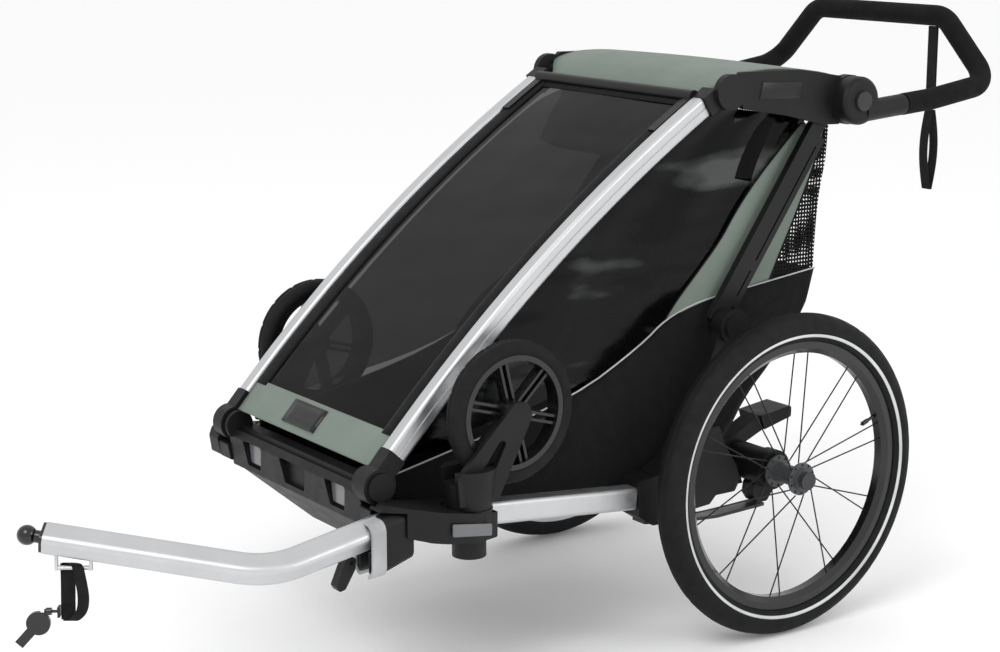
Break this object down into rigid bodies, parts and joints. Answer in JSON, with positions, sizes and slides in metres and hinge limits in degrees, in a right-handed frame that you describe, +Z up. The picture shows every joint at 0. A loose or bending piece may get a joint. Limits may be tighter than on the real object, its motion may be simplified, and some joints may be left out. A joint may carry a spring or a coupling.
{
  "type": "child bicycle trailer",
  "caption": "Child bicycle trailer: fabric cabin on a folding aluminium frame, sprung wheels, stowed strolling wheels, hitch arm and push handlebar.",
  "frame": {"origin": "middle of the floor rectangle the trailer covers, on the ground", "axes": "+Z up, +Y from the front towards the push handlebar (it travels towards -Y), +X towards the trailer's left side, where the hitch arm is"},
  "size_m": [0.689, 1.6187, 0.934],
  "materials": {
    "silver_aluminium": "brushed, clear anodised",
    "black_moulding": "fine-grained black",
    "grey_moulding": "fine-grained grey",
    "light_moulding": "smooth light grey",
    "black_gloss": "smooth black",
    "black_coated_tube": "satin dark grey coating",
    "tyre_rubber": "matt black",
    "grip_foam": "matt foam",
    "rim_black": "black anodised",
    "spoke_black": "black",
    "axle_steel": "machined",
    "spring_steel": "dark blue-grey coating",
    "cabin_fabric": "black woven",
    "green_fabric": "grey-green woven",
    "mesh_fabric": "black open mesh",
    "dark_film": "smoked film",
    "seat_fabric": "padded dark grey",
    "webbing": "woven webbing",
    "reflector_grey": "prismatic",
    "ring_steel": "plated"
  },
  "bodies": {
    "chassis": {"side_rails": "silver_aluminium", "rear_brackets": "black_moulding", "axle_beam": "black_coated_tube", "front_bumper": "black_moulding", "reflectors": "reflector_grey", "front_pods": "black_moulding", "pivot_caps": "black_moulding", "upright_mounts": "black_moulding", "tub": "cabin_fabric", "side_windows": "dark_film", "rear_mesh": "mesh_fabric", "seat_base": "seat_fabric", "seat_back": "seat_fabric", "harness": "webbing", "hitch_receiver": "black_moulding", "leaf_spring_left": "spring_steel", "leaf_spring_right": "spring_steel"},
    "front_frame": {"front_tubes": "silver_aluminium", "tube_fittings": "black_moulding", "front_bar": "black_coated_tube", "front_window": "dark_film", "front_panel": "green_fabric"},
    "top_frame": {"top_panels": "black_moulding", "roof": "green_fabric"},
    "rear_frame": {"uprights": "black_coated_tube"},
    "handlebar": {"handlebar_tube": "black_coated_tube", "grip": "grip_foam", "handlebar_knuckles": "black_moulding", "wrist_strap": "webbing"},
    "handlebar_button_left": {"handlebar_button_left": "light_moulding"},
    "handlebar_button_right": {"handlebar_button_right": "light_moulding"},
    "hitch_arm": {"hitch_arm": "silver_aluminium", "hitch_ball": "black_gloss"},
    "hitch_latch": {"hitch_latch": "black_moulding"},
    "safety_strap": {"safety_strap": "webbing", "strap_ring": "ring_steel"},
    "safety_pin": {"safety_pin": "black_gloss"},
    "brake_pedal": {"brake_pedal": "black_moulding"},
    "suspension_left": {"axle_housing_left": "black_moulding", "swing_arm_left": "black_moulding", "wheel_axle_left": "axle_steel"},
    "wheel_left": {"tyre_left": "tyre_rubber", "rim_left": "rim_black", "spokes_left": "spoke_black", "hub_left": "light_moulding"},
    "axle_button_left": {"axle_button_left": "light_moulding"},
    "caster_fork_left": {"caster_fork_left": "black_moulding"},
    "caster_wheel_left": {"caster_rim_left": "rim_black", "caster_tyre_left": "tyre_rubber"},
    "suspension_right": {"axle_housing_right": "black_moulding", "swing_arm_right": "black_moulding", "wheel_axle_right": "axle_steel"},
    "wheel_right": {"tyre_right": "tyre_rubber", "rim_right": "rim_black", "spokes_right": "spoke_black", "hub_right": "light_moulding"},
    "axle_button_right": {"axle_button_right": "light_moulding"},
    "caster_fork_right": {"caster_fork_right": "black_moulding"},
    "caster_wheel_right": {"caster_rim_right": "rim_black", "caster_tyre_right": "tyre_rubber"}
  },
  "joints": [
    {"name": "frame_fold", "type": "hinge", "parent": "chassis", "child": "front_frame", "pos_m": [0, -0.34775, 0.327], "axis": [-1, 0, 0], "range_deg": [0, 20], "deforming": ["side_windows", "rear_mesh", "seat_back", "harness"]},
    {"name": "top_fold", "type": "hinge", "parent": "front_frame", "child": "top_frame", "pos_m": [0, 0.26125, 0.829], "axis": [1, 0, 0], "range_deg": [0, 39.8]},
    {"name": "upright_fold", "type": "hinge", "parent": "chassis", "child": "rear_frame", "pos_m": [0, 0.26625, 0.478], "axis": [-1, 0, 0], "range_deg": [0, 30.2]},
    {"name": "handlebar_tilt", "type": "hinge", "parent": "top_frame", "child": "handlebar", "pos_m": [0, 0.49725, 0.805], "axis": [1, 0, 0], "range_deg": [-45, 100]},
    {"name": "handlebar_button_left_push", "type": "slide", "parent": "handlebar", "child": "handlebar_button_left", "axis": [-1, 0, 0], "range_m": [0, 0.003], "stiffness_N_per_m": 800, "springref_m": -0.0005},
    {"name": "suspension_left_travel", "type": "hinge", "parent": "chassis", "child": "suspension_left", "pos_m": [0, 0.25425, 0.24], "axis": [1, 0, 0], "range_deg": [0, 8], "stiffness_Nm_per_rad": 60, "springref_deg": -11.46, "deforming": ["leaf_spring_left"]},
    {"name": "wheel_left_spin", "type": "hinge", "parent": "suspension_left", "child": "wheel_left", "pos_m": [0.298, 0.33225, 0.25], "axis": [1, 0, 0], "continuous": true},
    {"name": "axle_button_left_push", "type": "slide", "parent": "suspension_left", "child": "axle_button_left", "axis": [-1, 0, 0], "range_m": [0, 0.004], "stiffness_N_per_m": 800, "springref_m": -0.0005},
    {"name": "caster_left_swivel", "type": "hinge", "parent": "chassis", "child": "caster_fork_left", "pos_m": [0.2665, -0.23275, 0.3], "axis": [0, 0, -1], "range_deg": [0, 25]},
    {"name": "caster_left_spin", "type": "hinge", "parent": "caster_fork_left", "child": "caster_wheel_left", "pos_m": [0.2665, -0.16375, 0.416], "axis": [1, 0, 0], "continuous": true},
    {"name": "handlebar_button_right_push", "type": "slide", "parent": "handlebar", "child": "handlebar_button_right", "axis": [1, 0, 0], "range_m": [0, 0.003], "stiffness_N_per_m": 800, "springref_m": -0.0005},
    {"name": "suspension_right_travel", "type": "hinge", "parent": "chassis", "child": "suspension_right", "pos_m": [0, 0.25425, 0.24], "axis": [1, 0, 0], "range_deg": [0, 8], "stiffness_Nm_per_rad": 60, "springref_deg": -11.46, "deforming": ["leaf_spring_right"]},
    {"name": "wheel_right_spin", "type": "hinge", "parent": "suspension_right", "child": "wheel_right", "pos_m": [-0.298, 0.33225, 0.25], "axis": [1, 0, 0], "continuous": true},
    {"name": "axle_button_right_push", "type": "slide", "parent": "suspension_right", "child": "axle_button_right", "axis": [1, 0, 0], "range_m": [0, 0.004], "stiffness_N_per_m": 800, "springref_m": -0.0005},
    {"name": "caster_right_swivel", "type": "hinge", "parent": "chassis", "child": "caster_fork_right", "pos_m": [-0.2665, -0.23275, 0.3], "axis": [0, 0, 1], "range_deg": [0, 25]},
    {"name": "caster_right_spin", "type": "hinge", "parent": "caster_fork_right", "child": "caster_wheel_right", "pos_m": [-0.2665, -0.16375, 0.416], "axis": [1, 0, 0], "continuous": true},
    {"name": "hitch_arm_slide", "type": "slide", "parent": "chassis", "child": "hitch_arm", "axis": [0.0278, -0.9872, -0.1569], "range_m": [0, 0.06]},
    {"name": "hitch_latch_turn", "type": "hinge", "parent": "chassis", "child": "hitch_latch", "pos_m": [0, -0.40575, 0.236], "axis": [1, 0, 0], "range_deg": [0, 35]},
    {"name": "safety_strap_swing", "type": "hinge", "parent": "hitch_arm", "child": "safety_strap", "pos_m": [0.1023, -0.74445, 0.257], "axis": [-0.5731, -0.8195, 0], "range_deg": [-45, 45]},
    {"name": "safety_pin_swing", "type": "hinge", "parent": "safety_strap", "child": "safety_pin", "pos_m": [0.08224, -0.77313, 0.197], "axis": [-0.5731, -0.8195, 0], "range_deg": [-40, 40]},
    {"name": "brake_pedal_press", "type": "hinge", "parent": "chassis", "child": "brake_pedal", "pos_m": [0, 0.20425, 0.231], "axis": [-1, 0, 0], "range_deg": [0, 8]}
  ],
  "couplings": [
    {"joint": "top_fold", "follows": "frame_fold", "ratio": 1.9757},
    {"joint": "upright_fold", "follows": "frame_fold", "ratio": 1.4983}
  ]
}
